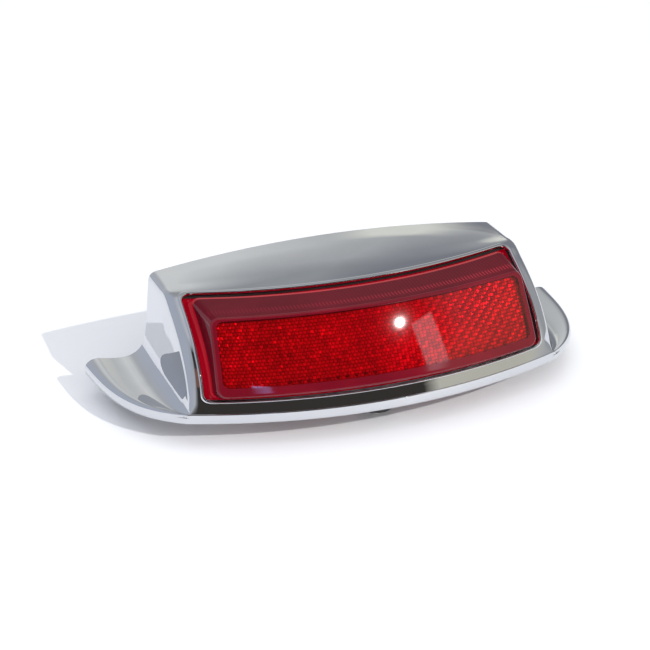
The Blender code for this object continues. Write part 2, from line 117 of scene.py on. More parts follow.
# share of the way from the flange's edge to the foot of the walls, and depth there
FLANGE_STEPS = ((0.0, 3.1), (0.3, 3.1), (0.52, 3.1), (0.6, 2.9), (0.68, 2.3), (0.76, 1.9), (0.9, 1.8), (1.0, 1.8))
# the walls below this share take the flange's material and its painted glow
WALL_MARK = 0.12  # share of a wall's height below which it looks like the flange
FACE_TOP = (61.8, -46.2, 45.7, -54.2)  # half width, side y, z, middle y
FACE_BOTTOM = (63.6, -60.2, 20.6, -69.8)
FACE_IN = np.array([0.0, 0.849, -0.528])  # straight in behind the lens face
FACE_OUT = (0, -0.88, 0.47)  # roughly out of the lens face
FACE_CROWN = 0.4  # how far the face bulges between its top and bottom
FACE_EDGE = 0.9  # radius round the lens face
WINDOW_Q = (0.038, 0.882)
WINDOW_T = 0.967
TOP_WALL_DROP = 0.006  # metres below the lens's top that its top wall reaches
REFLEX_Q = (0.042, 0.878)
REFLEX_T = 0.966
LENS_WALL = 1.4
RIB_PITCH = 1.35  # ribs on the lens's top wall

# ---- reflex sheet: depths are behind the lens face ----
CELL_PITCH = 1.42
CELL_BASE = 2.2
CELL_TIP = 1.87
CELL_LOW_TIP = 2.1
BACKING_DEPTH = 2.35
BACKING_THICK = 0.8
# these values put the backing low on the painted valley shade and at reduced gain, so it is painted dark as shade
# behind the cells
BACKING_PAINTED_SHADE = (0.35, 0.2)  # brightness and height, in the cell layer, of what isn't a cell
PIN_COUNT = 10
PIN_FIRST = -37.0
PIN_STEP = 3.55
PIN_RADIUS = 0.62
PIN_ROW = 0.955  # share of the sheet's height

# ---- tray frame: w runs down along the lens opening, h stands out of it ----
TRAY_Y, TRAY_Z = -34.9, 46.8
W_DIR = (-0.757, -0.653)
H_DIR = (-0.653, 0.757)
TRAY_H = -17.0
EAR_W = (-2.0, 22.0)
EAR_X = 64.5
TRAY_THICK = 1.6
SOCKET_X = 33.0
SOCKET_W = 14.0

# ---- mounting bolts: place in plan, and the height of the lug's underside ----
LUG_THICK = 3.6
BOLTS = {"front": (0.0, -54.0, 10.2), "left": (-62.0, -8.0, 14.2), "right": (62.0, -8.0, 14.2)}

SIDES = (("left", -1), ("right", 1))

# ---- mesh steps ----
STEPS_TOP = 60  # straight part of the opening's top and bottom sides
STEPS_SIDE = 44  # straight part of its left and right sides
STEPS_ARC = 18  # half of each rounded corner
RINGS = 26
LIP_STEPS = 21
LIP_SPACING = 0.35  # least distance between points along the lip, in millimetres
SIDE_POINTS = 40  # down a side section below its rounded edge
EASE_PASSES = 14


def smooth_table(table, s):
    """Catmull-Rom value of a station table at fractional station s."""
    last = len(table) - 1
    i = min(int(math.floor(s)), last - 1)
    f = s - i
    p1, p2 = table[i], table[i + 1]
    p0 = table[i - 1] if i > 0 else 2 * p1 - p2
    p3 = table[i + 2] if i + 2 <= last else 2 * p2 - p1
    return 0.5 * (2 * p1 + (p2 - p0) * f + (2 * p0 - 5 * p1 + 4 * p2 - p3) * f * f
                  + (3 * p1 - p0 - 3 * p2 + p3) * f ** 3)


def mix(a, b, k):
    """The values the share k of the way from a's to b's."""
    return [p + (q - p) * k for p, q in zip(a, b)]


def unit(v):
    return v / np.linalg.norm(v)


def crown(s, t):
    """Point of the crown: station s from the rear edge down to the lip, t from -1 to 1 across."""
    my, mz = smooth_table(MID_Y, s), smooth_table(MID_Z, s)
    sy, sz = smooth_table(SIDE_Y, s), smooth_table(SIDE_Z, s)
    f = t * t
    return np.array([smooth_table(SIDE_X, s) * t, my + (sy - my) * f, mz + (sz - mz) * f])


def crown_normal(s, t):
    e = 0.02
    a = crown(min(s + e, LAST), t) - crown(max(s - e, 0.0), t)
    b = crown(s, t + e) - crown(s, t - e)
    n = unit(np.cross(b, a))
    return n if n[2] - n[1] > 0 else -n


def crown_in(s, t, depth):
    return crown(s, t) - crown_normal(s, t) * depth


def rounding(a, corner, b, k):
    """Point k of the quadratic curve from a to b that rounds the corner."""
    return (1 - k) ** 2 * a + 2 * k * (1 - k) * corner + k * k * b


def bend(a, corner, b, steps):
    return [rounding(a, corner, b, k) for k in np.linspace(0, 1, steps)]


def line(a, b, steps):
    """Points between a and b, without either end."""
    return [a + (b - a) * k for k in np.linspace(0, 1, steps + 2)[1:-1]]


def eased(points, count):
    """The line through the points, evenly spaced, with its curvature evened out and its ends kept."""
    points = np.array(points)
    run = np.concatenate([[0.0], np.cumsum(np.linalg.norm(np.diff(points, axis=0), axis=1))])
    spots = np.linspace(0.0, run[-1], count)
    even = np.stack([np.interp(spots, run, points[:, k]) for k in range(3)], axis=1)
    for _ in range(EASE_PASSES):
        even[1:-1] = (even[:-2] + 2 * even[1:-1] + even[2:]) / 4
    return list(even)


def lip_line(s):
    """Inner line of the lip beside station s, on the +X side."""
    if s >= LAST:
        return crown(LAST, 1.0)
    y = smooth_table(LIP_Y, s)
    x = LIP_HALF_WIDTH * (1 - (abs(y) / LIP_DEPTH) ** LIP_POWER) ** (1 / LIP_POWER)
    z = LIP_Z_FRONT + (LIP_Z_REAR - LIP_Z_FRONT) * max(0.0, 1 - abs(y) / 40)
    return np.array([x, y, z])


def edge_start(s):
    """Across fraction at which the crown's rounded side edge begins."""
    return 1 - EDGE_ROUND / smooth_table(SIDE_X, s)


def side_section(s):
    """Skin from the crown's rounded edge down the wall, round the scoop and out to the lip, at +X."""
    edge = crown(s, 1.0)
    lip = lip_line(s)
    foot = np.array([smooth_table(WALL_X, s), (edge[1] + lip[1]) / 2, smooth_table(WALL_Z, s)])
    fall, run = np.linalg.norm(foot - edge), np.linalg.norm(lip - foot)
    down = (foot - edge) / max(fall, 1e-6)
    out = (lip - foot) / max(run, 1e-6)
    r_edge = min(EDGE_ROUND, 0.4 * fall)
    r_up = min(SCOOP_UP, 0.95 * (fall - r_edge))
    r_out = min(SCOOP_OUT, 0.65 * run)
    a, b = edge + down * r_edge, foot - down * r_up
    points = line(a, b, 8) + bend(b, foot, foot + out * r_out, 16) + line(foot + out * r_out, lip, 7) + [lip]
    return bend(crown(s, edge_start(s)), edge, a, 8) + eased([a] + points, SIDE_POINTS)[1:]


def mirror(p):
    return np.array([-p[0], p[1], p[2]])


# ---- rounded loops round a rectangle of two parameters ----

def rounded_loop(low, high, half, r_first, r_across):
    """(first, across) pairs: top side from -across to +across, down +across, back along the bottom, up -across.

    It starts at the middle of the corner at (low, -half). Each side keeps the same count of points whatever the
    rectangle, so that two loops join point by point.
    """
    def side(a, b, steps):
        return [tuple(np.array(a) + (np.array(b) - np.array(a)) * k / steps) for k in range(1, steps)]

    def arc(first, across, start):
        angles = [start + (math.pi / 2) * k / (2 * STEPS_ARC) for k in range(2 * STEPS_ARC + 1)]
        return [(first - r_first * math.cos(a), across + r_across * math.sin(a)) for a in angles]
    top_left = arc(low + r_first, -half + r_across, -math.pi / 2)
    top_right = arc(low + r_first, half - r_across, 0.0)
    low_right = arc(high - r_first, half - r_across, math.pi / 2)
    low_left = arc(high - r_first, -half + r_across, math.pi)
    points = top_left[STEPS_ARC:] + side(top_left[-1], top_right[0], STEPS_TOP) + top_right
    points += side(top_right[-1], low_right[0], STEPS_SIDE) + low_right
    points += side(low_right[-1], low_left[0], STEPS_TOP) + low_left
    points += side(low_left[-1], top_left[0], STEPS_SIDE) + top_left[:STEPS_ARC]
    return points


def spread(count_arc, count_mid, a, b, c, d):
    """Values from a to d: count_arc steps to b, count_mid steps to c, count_arc steps to d."""
    first = list(np.linspace(a, b, count_arc + 1))
    middle = list(np.linspace(b, c, count_mid + 1))
    last = list(np.linspace(c, d, count_arc + 1))
    return first + middle[1:] + last[1:]


def crown_outline():
    """(s, t) pairs round the whole crown up to its rounded edges, counted like rounded_loop."""
    t_in = (OPEN_T - 0.05) / OPEN_T
    across = spread(STEPS_ARC, STEPS_TOP, -1.0, -t_in, t_in, 1.0)
    down = spread(STEPS_ARC, STEPS_SIDE, 0.0, OPEN_S[0] + 0.7, OPEN_S[1] - 0.8, LAST)
    pairs = [(0.0, f * edge_start(0.0)) for f in across]
    pairs += [(s, edge_start(s)) for s in down[1:]]
    pairs += [(LAST, f * edge_start(LAST)) for f in across[::-1][1:]]
    pairs += [(s, -edge_start(s)) for s in down[::-1][1:-1]]
    return pairs, down


# ---- mesh helpers ----

WELD = 0.004  # points this close become one


def place(p):
    return (p[0] * MM, (p[1] + REAR_Y) * MM, p[2] * MM)


def object_from(name, data):
    obj = bpy.data.objects.new(name, data)
    bpy.context.scene.collection.objects.link(obj)
    return obj


def add_grid(points, faces, grid, flip=False, closed=False):
    start = len(points)
    rows, cols = len(grid), len(grid[0])
    for row in grid:
        points.extend(row)
    for i in range(rows - 1):
        for j in range(cols if closed else cols - 1):
            k = (j + 1) % cols
            a, b = start + i * cols + j, start + i * cols + k
            quad = (a, b, b + cols, a + cols)
            faces.append(quad[::-1] if flip else quad)


def mesh_object(name, points, faces):
    mesh = bpy.data.meshes.new(name)
    mesh.from_pydata([place(p) for p in points], [], faces)
    bm = bmesh.new()
    bm.from_mesh(mesh)
    bmesh.ops.remove_doubles(bm, verts=bm.verts, dist=WELD * MM)
    bmesh.ops.dissolve_degenerate(bm, edges=bm.edges, dist=WELD * MM)
    bmesh.ops.recalc_face_normals(bm, faces=bm.faces)
    bm.to_mesh(mesh)
    bm.free()
    return object_from(name, mesh)


def face_along(obj, direction):
    """Turns an open sheet so that most of it faces the direction."""
    bm = bmesh.new()
    bm.from_mesh(obj.data)
    total = sum((f.normal * f.calc_area() for f in bm.faces), Vector())
    if total.dot(Vector(direction)) < 0:
        bmesh.ops.reverse_faces(bm, faces=bm.faces)
    bm.to_mesh(obj.data)
    bm.free()


def evaluated(obj):
    """The mesh of obj as its modifiers or curve settings draw it."""
    return bpy.data.meshes.new_from_object(obj.evaluated_get(bpy.context.evaluated_depsgraph_get()))


def apply_modifiers(obj):
    mesh = evaluated(obj)
    obj.modifiers.clear()
    obj.data = mesh


def solidify(obj, thickness, even=False, inner_slot=0):
    mod = obj.modifiers.new("wall", "SOLIDIFY")
    mod.thickness = thickness * MM
    mod.offset = -1
    mod.use_even_offset = even
    mod.use_rim = True
    mod.material_offset = inner_slot
    mod.material_offset_rim = 0
    apply_modifiers(obj)


def smooth(obj, degrees=35.0):
    """Smooth shading, with edges sharper than the angle kept crisp."""
    bm = bmesh.new()
    bm.from_mesh(obj.data)
    limit = math.radians(degrees)
    for f in bm.faces:
        f.smooth = True
    for e in bm.edges:
        e.smooth = e.calc_face_angle(0.0) < limit
    bm.to_mesh(obj.data)
    bm.free()


def boolean(obj, other, operation="DIFFERENCE"):
    mod = obj.modifiers.new("cut", "BOOLEAN")
    mod.operation = operation
    mod.solver = "EXACT"
    mod.object = other
    apply_modifiers(obj)
    bpy.data.objects.remove(other, do_unlink=True)
    return obj


def join_into(obj, others):
    """Adds the other meshes to obj, which keeps its name."""
    bm = bmesh.new()
    bm.from_mesh(obj.data)
    for other in others:
        bm.from_mesh(other.data)
    bm.to_mesh(obj.data)
    bm.free()
    for other in others:
        bpy.data.objects.remove(other, do_unlink=True)


# ---- solids in the tray frame and the level frame ----

def tray_point(x, w, h):
    return np.array([x, TRAY_Y + W_DIR[0] * w + H_DIR[0] * h, TRAY_Z + W_DIR[1] * w + H_DIR[1] * h])


def tray_matrix(x, w, h):
    """Frame whose Z stands out of the lens opening, Y runs up it and X is the part's X."""
    up = Vector((0, H_DIR[0], H_DIR[1]))
    right = Vector((1, 0, 0))
    rot = Matrix((right, up.cross(right), up)).transposed().to_4x4()
    return Matrix.Translation(Vector(place(tray_point(x, w, h)))) @ rot


def level_matrix(x, y, z):
    return Matrix.Translation(Vector(place((x, y, z))))


def object_of(bm, name, matrix):
    mesh = bpy.data.meshes.new(name)
    bm.to_mesh(mesh)
    bm.free()
    mesh.transform(matrix)
    return object_from(name, mesh)


def block(name, size, matrix, chamfer=0.0, segments=3):
    bm = bmesh.new()
    bmesh.ops.create_cube(bm, size=1.0)
    bmesh.ops.scale(bm, vec=Vector(size) * MM, verts=bm.verts)
    if chamfer:
        bmesh.ops.bevel(bm, geom=list(bm.edges), offset=chamfer * MM, segments=segments, affect="EDGES", profile=0.5)
    return object_of(bm, name, matrix)


def lathe(name, profile, steps, matrix):
    """Solid of revolution about local Z from a closed loop of (radius, height)."""
    bm = bmesh.new()
    rings = []
    for r, z in profile:
        if r < 1e-6:
            rings.append([bm.verts.new((0, 0, z * MM))] * steps)
            continue
        ring = []
        for k in range(steps):
            a = 2 * math.pi * k / steps
            ring.append(bm.verts.new((r * MM * math.cos(a), r * MM * math.sin(a), z * MM)))
        rings.append(ring)
    for i, a in enumerate(rings):
        b = rings[(i + 1) % len(rings)]
        for k in range(steps):
            m = (k + 1) % steps
            corners = []
            for v in (a[k], a[m], b[m], b[k]):
                if v not in corners:
                    corners.append(v)
            if len(corners) >= 3:
                bm.faces.new(corners)
    bmesh.ops.recalc_face_normals(bm, faces=bm.faces)
    return object_of(bm, name, matrix)


def rod(name, radius, z0, z1, steps, matrix):
    return lathe(name, [(0, z0), (radius, z0), (radius, z1), (0, z1)], steps, matrix)


def wear(obj, *names):
    """Appends the named materials to those of obj."""
    for name in names:
        obj.data.materials.append(MATERIALS[name])


def declare(obj, name, body="lamp"):
    """Hides the plain node that obj replaces and hangs obj on the body it rides on."""
    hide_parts(name)
    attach(obj, body)


# ---- housing ----

def lip_path(sections):
    """Inner line of the lip from the +X rear corner round the front to the -X rear corner, with plan normals."""
    right = [section[-1] for section in sections] + sections[-1][::-1]
    across = np.linspace(edge_start(LAST), -edge_start(LAST), 141)
    front = [crown(LAST, t) for t in across]
    left = [mirror(p) for p in right[::-1]]
    path = []
    for p in right + front + left:
        if not path or np.linalg.norm(p - path[-1]) > LIP_SPACING:
            path.append(p)
    last = len(path) - 1
    normals = []
    for k in range(last + 1):
        ahead = path[min(k + 1, last)] - path[max(k - 1, 0)]
        normals.append(unit(np.array([-ahead[1], ahead[0], 0.0])))
    normals[0], normals[last] = np.array([1.0, 0.0, 0.0]), np.array([-1.0, 0.0, 0.0])
    for _ in range(EASE_PASSES):
        middle = [unit(normals[k - 1] + normals[k] + normals[k + 1]) for k in range(1, last)]
        normals = [normals[0]] + middle + [normals[last]]
    return path, normals


def lip_section(p, normal):
    """Rounded lip from the lip line outwards and under, fuller and rounder towards the wings."""
    rear = max(0.0, 1 - abs(p[1]) / 54.0)
    out, down, square = mix(LIP_FRONT, LIP_REAR, rear)
    points = []
    for k in np.linspace(0, math.pi, LIP_STEPS):
        bulge = out * max(0.0, math.sin(k)) ** square
        points.append(p + normal * bulge - np.array([0, 0, down * (1 - math.cos(k))]))
    return points


def opening_rings():
    """The crown between its outline and the lens opening, then the rolled bead round the opening."""
    outline, down = crown_outline()
    loop = rounded_loop(*OPEN_S, OPEN_T, 0.62, 0.062)
    centre = (6.5, 0.0)
    foot = []
    for s, t in loop:
        n_s = BEAD_WIDTH / 6.2 * np.clip((s - centre[0]) / 3.0, -1, 1)
        n_t = BEAD_WIDTH / 72.0 * np.clip(t / 0.87, -1, 1)
        foot.append((s + n_s, t + n_t))
    rings = []
    for k in np.linspace(0, 1, RINGS):
        rings.append([crown(*mix(o, f, k)) for o, f in zip(outline, foot)])
    for a in np.linspace(0, math.pi, 9)[1:]:
        ring = []
        for f, l in zip(foot, loop):
            s, t = mix(f, l, (1 - math.cos(a)) / 2)
            ring.append(crown(s, t) + crown_normal(s, t) * BEAD_RISE * math.sin(a))
        rings.append(ring)
    rings.append([crown_in(s, t, 0.7) for s, t in loop])
    return rings, down


def housing():
    points, faces = [], []
    rings, down = opening_rings()
    add_grid(points, faces, rings, closed=True)
    sections = [side_section(s) for s in down]
    add_grid(points, faces, sections)
    add_grid(points, faces, [[mirror(p) for p in row] for row in sections], True)
    path, normals = lip_path(sections)
    add_grid(points, faces, [lip_section(p, n) for p, n in zip(path, normals)], True)
    obj = mesh_object("housing_shell", points, faces)
    bm = bmesh.new()
    bm.from_mesh(obj.data)
    top = max(bm.faces, key=lambda f: f.calc_center_median().z)
    if top.normal.z < 0:
        bmesh.ops.reverse_faces(bm, faces=bm.faces)
    bm.to_mesh(obj.data)
    bm.free()
    wear(obj, "chrome_plate", "satin_inside")
    solidify(obj, WALL - 0.05, False, 1)
    for vertex in obj.data.vertices:
        vertex.co.y = min(vertex.co.y, REAR_Y * MM)
    extras = []
    for sign in (-1, 1):
        for w in EAR_W:
            reach = 71.2 if w < 0 else 72.3
            ear = block("ear", (reach - 60.1, 7.0, 2.2), tray_matrix(sign * (reach + 60.1) / 2, w, TRAY_H + 1.4), 0.3)
            extras.append(boolean(ear, rod("hole", 1.8, -6, 6, 24, tray_matrix(sign * EAR_X, w, TRAY_H + 1.55))))
    for name, (x, y, seat) in BOLTS.items():
        size, centre, middle = (17.9, 12.0, LUG_THICK), (math.copysign(64.95, x), y), seat + LUG_THICK / 2
        if name == "front":
            size, centre = (14.0, 21.4, LUG_THICK), (0.0, -58.1)
        lug = block("lug", size, level_matrix(centre[0], centre[1], middle), 0.6)
        extras.append(boolean(lug, rod("hole", 3.2, -6, 6, 32, level_matrix(x, y, middle))))
    for extra in extras:
        for poly in extra.data.polygons:
            poly.material_index = 1
    join_into(obj, extras)
    smooth(obj, 42)
    declare(obj, "chrome_housing")


# ---- lens ----

def face_point(q, t, depth=0.0):
    """Lens front face: q from top to bottom, t from -1 to 1 across."""
    half, side_y, z, mid_y = mix(FACE_TOP, FACE_BOTTOM, q)
    crowned = FACE_CROWN * 4 * q * (1 - q)
    return np.array([half * t, mid_y + (side_y - mid_y) * t * t, z]) + FACE_IN * (depth - crowned)


def lens():
    """Flange, walls and face of the lens as rings from the flange's edge to the middle of the face."""
    flange = rounded_loop(*FLANGE_S, FLANGE_T, 0.6, 0.06)
    base = rounded_loop(*BASE_S, BASE_T, 0.5, 0.05)
    face = rounded_loop(0.0, 1.0, 1.0, 0.11, 0.055)
    rings, marks = [], []

    def ring(points, across):
        rings.append(points)
        marks.append(across)

    def between(k, depth):
        return [crown_in(*mix(a, b, k), depth) for a, b in zip(flange, base)]

    for k, depth in FLANGE_STEPS:
        ring(between(k, depth), -1.0)
    foot = between(1.0, 1.8)
    rise = between(1.0, -0.2)
    edge = [face_point(q, t) for q, t in face]
    for k in np.linspace(0.15, 1, 6):
        ring([f + (r - f) * k for f, r in zip(foot, rise)], -0.5)
    inward = [face_point(0.5 + (q - 0.5) * 0.9, t * 0.96) for q, t in face]
    starts, ends = [], []
    for r, e, i in zip(rise, edge, inward):
        wall = e - r
        length = np.linalg.norm(wall)
        back = min(FACE_EDGE, 0.45 * length)
        starts.append(e - wall / max(length, 1e-6) * back)
        ends.append(e + unit(i - e) * FACE_EDGE)
    for k in np.linspace(0, 1, 15)[1:]:
        ring([r + (a - r) * k for r, a in zip(rise, starts)], k)
    for k in np.linspace(0, 1, 9)[1:]:
        ring([rounding(a, e, b, k) for a, e, b in zip(starts, edge, ends)], 1.0 + 0.1 * k)
    window = rounded_loop(*WINDOW_Q, WINDOW_T, 0.09, 0.042)
    rim = [face_point(q, t) for q, t in window]
    for k in np.linspace(0, 1, 6)[1:]:
        ring([b + (w - b) * k for b, w in zip(ends, rim)], 1.2)
    middle = (WINDOW_Q[0] + WINDOW_Q[1]) / 2
    for k in np.linspace(0, 0.98, 22)[1:]:
        ring([face_point(q + (middle - q) * k, t * (1 - k * 0.985)) for q, t in window], 2.0)
    points, faces = [], []
    add_grid(points, faces, rings, closed=True)
    last = len(points) - len(rings[0])
    faces.append(tuple(range(last, len(points))))
    mesh = bpy.data.meshes.new("lens_shell")
    mesh.from_pydata([place(p) for p in points], [], faces)
    obj = object_from("lens_shell", mesh)
    count = len(rings[0])
    top_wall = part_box("red_lens")[1].z - TOP_WALL_DROP
    uv = mesh.uv_layers.new(name="wall")
    for poly in mesh.polygons:
        row = min(v for v in poly.vertices) // count
        mark = marks[min(row + 1, len(marks) - 1)]
        poly.material_index = 0 if mark >= 2.0 else (1 if mark >= WALL_MARK else 2)
        if WALL_MARK <= mark <= 1.0 and abs(poly.normal.z) > 0.8 and poly.center.z > top_wall:
            poly.material_index = 3
        for loop_index in poly.loop_indices:
            vertex = mesh.loops[loop_index].vertex_index
            across = marks[vertex // count]
            uv.data[loop_index].uv = (points[vertex][0] / 100.0 + 1.0, max(0.0, across) / 2.5)
    face_along(obj, (0, H_DIR[0], H_DIR[1]))
    wear(obj, "lens_window", "lens_wall", "lens_flange", "lens_top", *4 * ["lens_inside"])
    solidify(obj, LENS_WALL, False, 4)
    smooth(obj, 40)
    declare(obj, "red_lens")


def reflex():
    """Prismatic sheet behind the window: low pyramid cells on a curved backing.

    They stand in offset rows on one side and in slanting streaks on the other.
    """
    rng = np.random.default_rng(7)
    bm = bmesh.new()
    half = (FACE_TOP[0] + FACE_BOTTOM[0]) / 2 * REFLEX_T
    length = np.linalg.norm(face_point(1, 0) - face_point(0, 0))
    height = length * (REFLEX_Q[1] - REFLEX_Q[0])

    def spot(u, v, depth):
        """Point u millimetres across and v millimetres down from the top of the sheet."""
        q = REFLEX_Q[0] + v / length
        return Vector(place(face_point(q, u / mix(FACE_TOP, FACE_BOTTOM, q)[0], depth)))

    cell_uv = bm.loops.layers.uv.new("cell")

    def cell(corners, tip_depth, lean, tone_and_painted_glint):
        """A low pyramid over the corners, its tip moved by lean, with its tone and painted glint in the cell layer.
        """
        cu = sum(c[0] for c in corners) / len(corners) + lean[0]
        cv = sum(c[1] for c in corners) / len(corners) + lean[1]
        ring = [bm.verts.new(spot(c[0], c[1], CELL_BASE)) for c in corners]
        tip = bm.verts.new(spot(cu, cv, tip_depth))
        for k in range(len(ring)):
            for corner in bm.faces.new((ring[k], ring[(k + 1) % len(ring)], tip)).loops:
                corner[cell_uv].uv = (tone_and_painted_glint / 2, 1.0 if corner.vert is tip else 0.0)

    cols = int(2 * half / CELL_PITCH)
    rows = int(height / (CELL_PITCH * 0.87))
    step_u, step_v = 2 * half / cols, height / rows
    for i in range(cols):
        for j in range(rows):
            u0, v0 = -half + i * step_u, j * step_v
            diagonal = u0 > 6.0 + (v0 - height / 2) * -0.75
            shift = 0.5 * step_u if (j % 2 and not diagonal) else 0.0
            u0 += shift
            u1 = min(u0 + step_u, half)
            if u1 - u0 < 0.2 * step_u:
                continue
            corners = [(u0, v0), (u1, v0), (u1, v0 + step_v), (u0, v0 + step_v)]
            jitter = rng.normal(0, 0.07, 2)
            lean = (jitter[0], 0.12 + jitter[1])
            if diagonal:
                lean = ((0.34 if (i + j) % 3 == 0 else -0.05) + jitter[0] * 0.6, 0.05 + jitter[1] * 0.6)
            tip = CELL_TIP + abs(rng.normal(0, 0.05))
            if diagonal and (i + j) % 3 == 1:
                tip = CELL_LOW_TIP
            # painted light: cells along the slanting streaks brighter, alternate columns darker, a few cells given a
            # painted glint, on top of random tone
            streak = 1.3 if diagonal and (i + j) % 3 == 0 else 0.95 - 0.18 * (i % 2)
            tone_and_painted_glint = min(1.9, streak * (1 + rng.normal(0, 0.16)) + (0.7 if rng.random() < 0.035 else 0.0))
            cell(corners, tip, lean, tone_and_painted_glint)
    bmesh.ops.recalc_face_normals(bm, faces=bm.faces)
    obj = object_of(bm, "reflex_sheet", Matrix.Identity(4))
    face_along(obj, FACE_OUT)
    # the backing plate behind the cells
    points, faces = [], []
    qs = np.linspace(*REFLEX_Q, 9)
    ts = np.linspace(-REFLEX_T, REFLEX_T, 61)
    add_grid(points, faces, [[face_point(q, t, BACKING_DEPTH) for t in ts] for q in qs])
    backing = mesh_object("backing", points, faces)
    face_along(backing, FACE_OUT)
    solidify(backing, BACKING_THICK, True)
    # dark pins in a row near the lower edge
    pins = []
    for k in range(PIN_COUNT):
        u = PIN_FIRST + PIN_STEP * k
        p0, p1 = (spot(u, height * PIN_ROW, depth) for depth in (1.6, 2.4))
        pin = lathe("pin", [(0, 0), (PIN_RADIUS, 0), (PIN_RADIUS, -0.7), (0, -0.7)], 16, Matrix.Identity(4))
        axis = (p0 - p1).normalized().to_track_quat("Z", "Y").to_matrix().to_4x4()
        pin.data.transform(Matrix.Translation(p0) @ axis)
        pins.append(pin)
    wear(obj, "reflex_red", "reflex_pin")
    for pin in pins:
        for poly in pin.data.polygons:
            poly.material_index = 1
    join_into(obj, [backing] + pins)
    for corner in obj.data.uv_layers["cell"].data:
        if corner.uv.x < 1e-6:
            corner.uv = BACKING_PAINTED_SHADE
    declare(obj, "reflex_reflector")


# ---- fittings ----

def stand_in(obj, name, slot, body="lamp", degrees=35.0):
    """Gives obj one material and makes it the visible form of the plain node of that name."""
    obj.data.materials.clear()
    wear(obj, slot)
    smooth(obj, degrees)
    declare(obj, name, body)


def moved(matrix, x=0.0, y=0.0, z=0.0, turn=0.0):
    return matrix @ Matrix.Rotation(math.radians(turn), 4, "Z") @ Matrix.Translation((x * MM, y * MM, z * MM))


def thread(radius, depth, pitch, low, high):
    """Profile points of a thread's crests and roots, from the top down."""
    points, z = [], high
    while z - pitch > low:
        points += [(radius, z - 0.1 * pitch), (radius - depth, z - 0.4 * pitch), (radius - depth, z - 0.6 * pitch),
                   (radius, z - 0.9 * pitch)]
        z -= pitch
    return points


def bolts():
    for name, (x, y, seat) in BOLTS.items():
        spot, top = level_matrix(x, y, 0), seat + LUG_THICK
        profile = [(0, top + 3.3), (3.8, top + 3.3), (4.2, top + 3.15), (4.5, top + 2.7), (4.5, top + 0.5),
                   (4.3, top + 0.3), (2.5, top + 0.3)] + thread(2.5, 0.35, 0.8, 0.6, seat - 0.1)
        head = lathe("bolt_" + name + "_fine", profile + [(2.5, 0.6), (1.9, 0), (0, 0)], 64, spot)
        stand_in(boolean(head, rod("key", 2.3, top + 1.2, top + 4, 6, spot)), "mount_bolt_" + name, "zinc_steel")
        ring = [(3.0, seat - 0.3), (6.2, seat - 0.3), (6.4, seat - 0.5), (6.4, seat - 1.1), (6.2, seat - 1.3),
                (3.0, seat - 1.3)]
        stand_in(lathe("washer_" + name + "_fine", ring, 72, spot), "mount_washer_" + name, "zinc_steel")
        cone = [(0, seat - 1.6), (4.1, seat - 1.6), (4.7, seat - 1.95), (4.7, seat - 3.95), (4.1, seat - 4.3),
                (0, seat - 4.3)]
        nut = rod("nut_" + name + "_fine", 4.6, seat - 4.3, seat - 1.6, 6, spot)
        boolean(nut, lathe("cone", cone, 64, spot), "INTERSECT")
        stand_in(boolean(nut, rod("bore", 2.85, 0, seat, 48, spot)), "mount_nut_" + name, "zinc_steel")
        ring = [(3.0, seat - 4.6), (6.7, seat - 4.6), (7.0, seat - 4.9), (7.0, seat - 6.3), (6.8, seat - 6.75),
                (6.4, seat - 7.0), (3.3, seat - 7.0), (3.0, seat - 6.8)]
        stand_in(lathe("isolator_" + name + "_fine", ring, 72, spot), "mount_isolator_" + name, "black_rubber")


def tray():
    middle = TRAY_H - TRAY_THICK / 2
    plate = block("tray_fine", (137.0, 36.0, TRAY_THICK), tray_matrix(0, 9.0, middle), 0.4)
    for side, sign in SIDES:
        spot = tray_matrix(sign * SOCKET_X, SOCKET_W, middle)
        boolean(plate, rod("hole", 7.6, -3, 3, 72, spot))
        boolean(plate, block("notch", (20.0, 3.6, 6.0), moved(spot, turn=45)))
        for level, w in (("upper", EAR_W[0]), ("lower", EAR_W[1])):
            boolean(plate, rod("hole", 1.8, -3, 3, 32, tray_matrix(sign * EAR_X, w, middle)))
            at = tray_matrix(sign * EAR_X, w, TRAY_H)
            profile = [(0, 2.6), (1.2, 2.6), (1.5, 2.3)] + thread(1.5, 0.22, 0.6, -1.8, 2.2)
            profile += [(1.5, -1.9), (3.0, -1.9), (3.0, -2.7), (2.7, -3.3), (2.0, -3.7), (0, -3.8)]
            screw = lathe("screw_" + side + "_" + level + "_fine", profile, 48, at)
            for turn in (0, 90):
                boolean(screw, block("slot", (3.2, 0.55, 1.6), moved(at, z=-3.7, turn=turn)))
            stand_in(screw, "tray_screw_" + side + "_" + level, "zinc_steel")
    stand_in(plate, "lamp_tray", "tray_white")


def wire(name, centres, radius):
    """Round wire through millimetre points of the housing's frame."""
    curve = bpy.data.curves.new(name, "CURVE")
    curve.dimensions = "3D"
    curve.bevel_depth = radius * MM
    curve.bevel_resolution = 6
    curve.use_fill_caps = True
    spline = curve.splines.new("POLY")
    spline.points.add(len(centres) - 1)
    for point, centre in zip(spline.points, centres):
        point.co = (*place(centre), 1.0)
    drawn = object_from(name + "_curve", curve)
    obj = object_from(name, evaluated(drawn))
    bpy.data.objects.remove(drawn, do_unlink=True)
    return obj


def filament_points(x):
    points = []
    for k in range(121):
        a = k / 120
        if a < 0.25:
            px, pw, ph = -2.0, 0.0, 3.0 + 24.0 * a
        elif a > 0.75:
            px, pw, ph = 2.0, 0.0, 9.0 - 24.0 * (a - 0.75)
        else:
            m = (a - 0.25) / 0.5
            px, pw, ph = -2.0 + 4.0 * m, 0.45 * math.sin(m * 18 * math.pi), 9.4 + 0.45 * math.cos(m * 18 * math.pi)
        points.append(tray_point(x + px, SOCKET_W + pw, TRAY_H + ph))
    return points


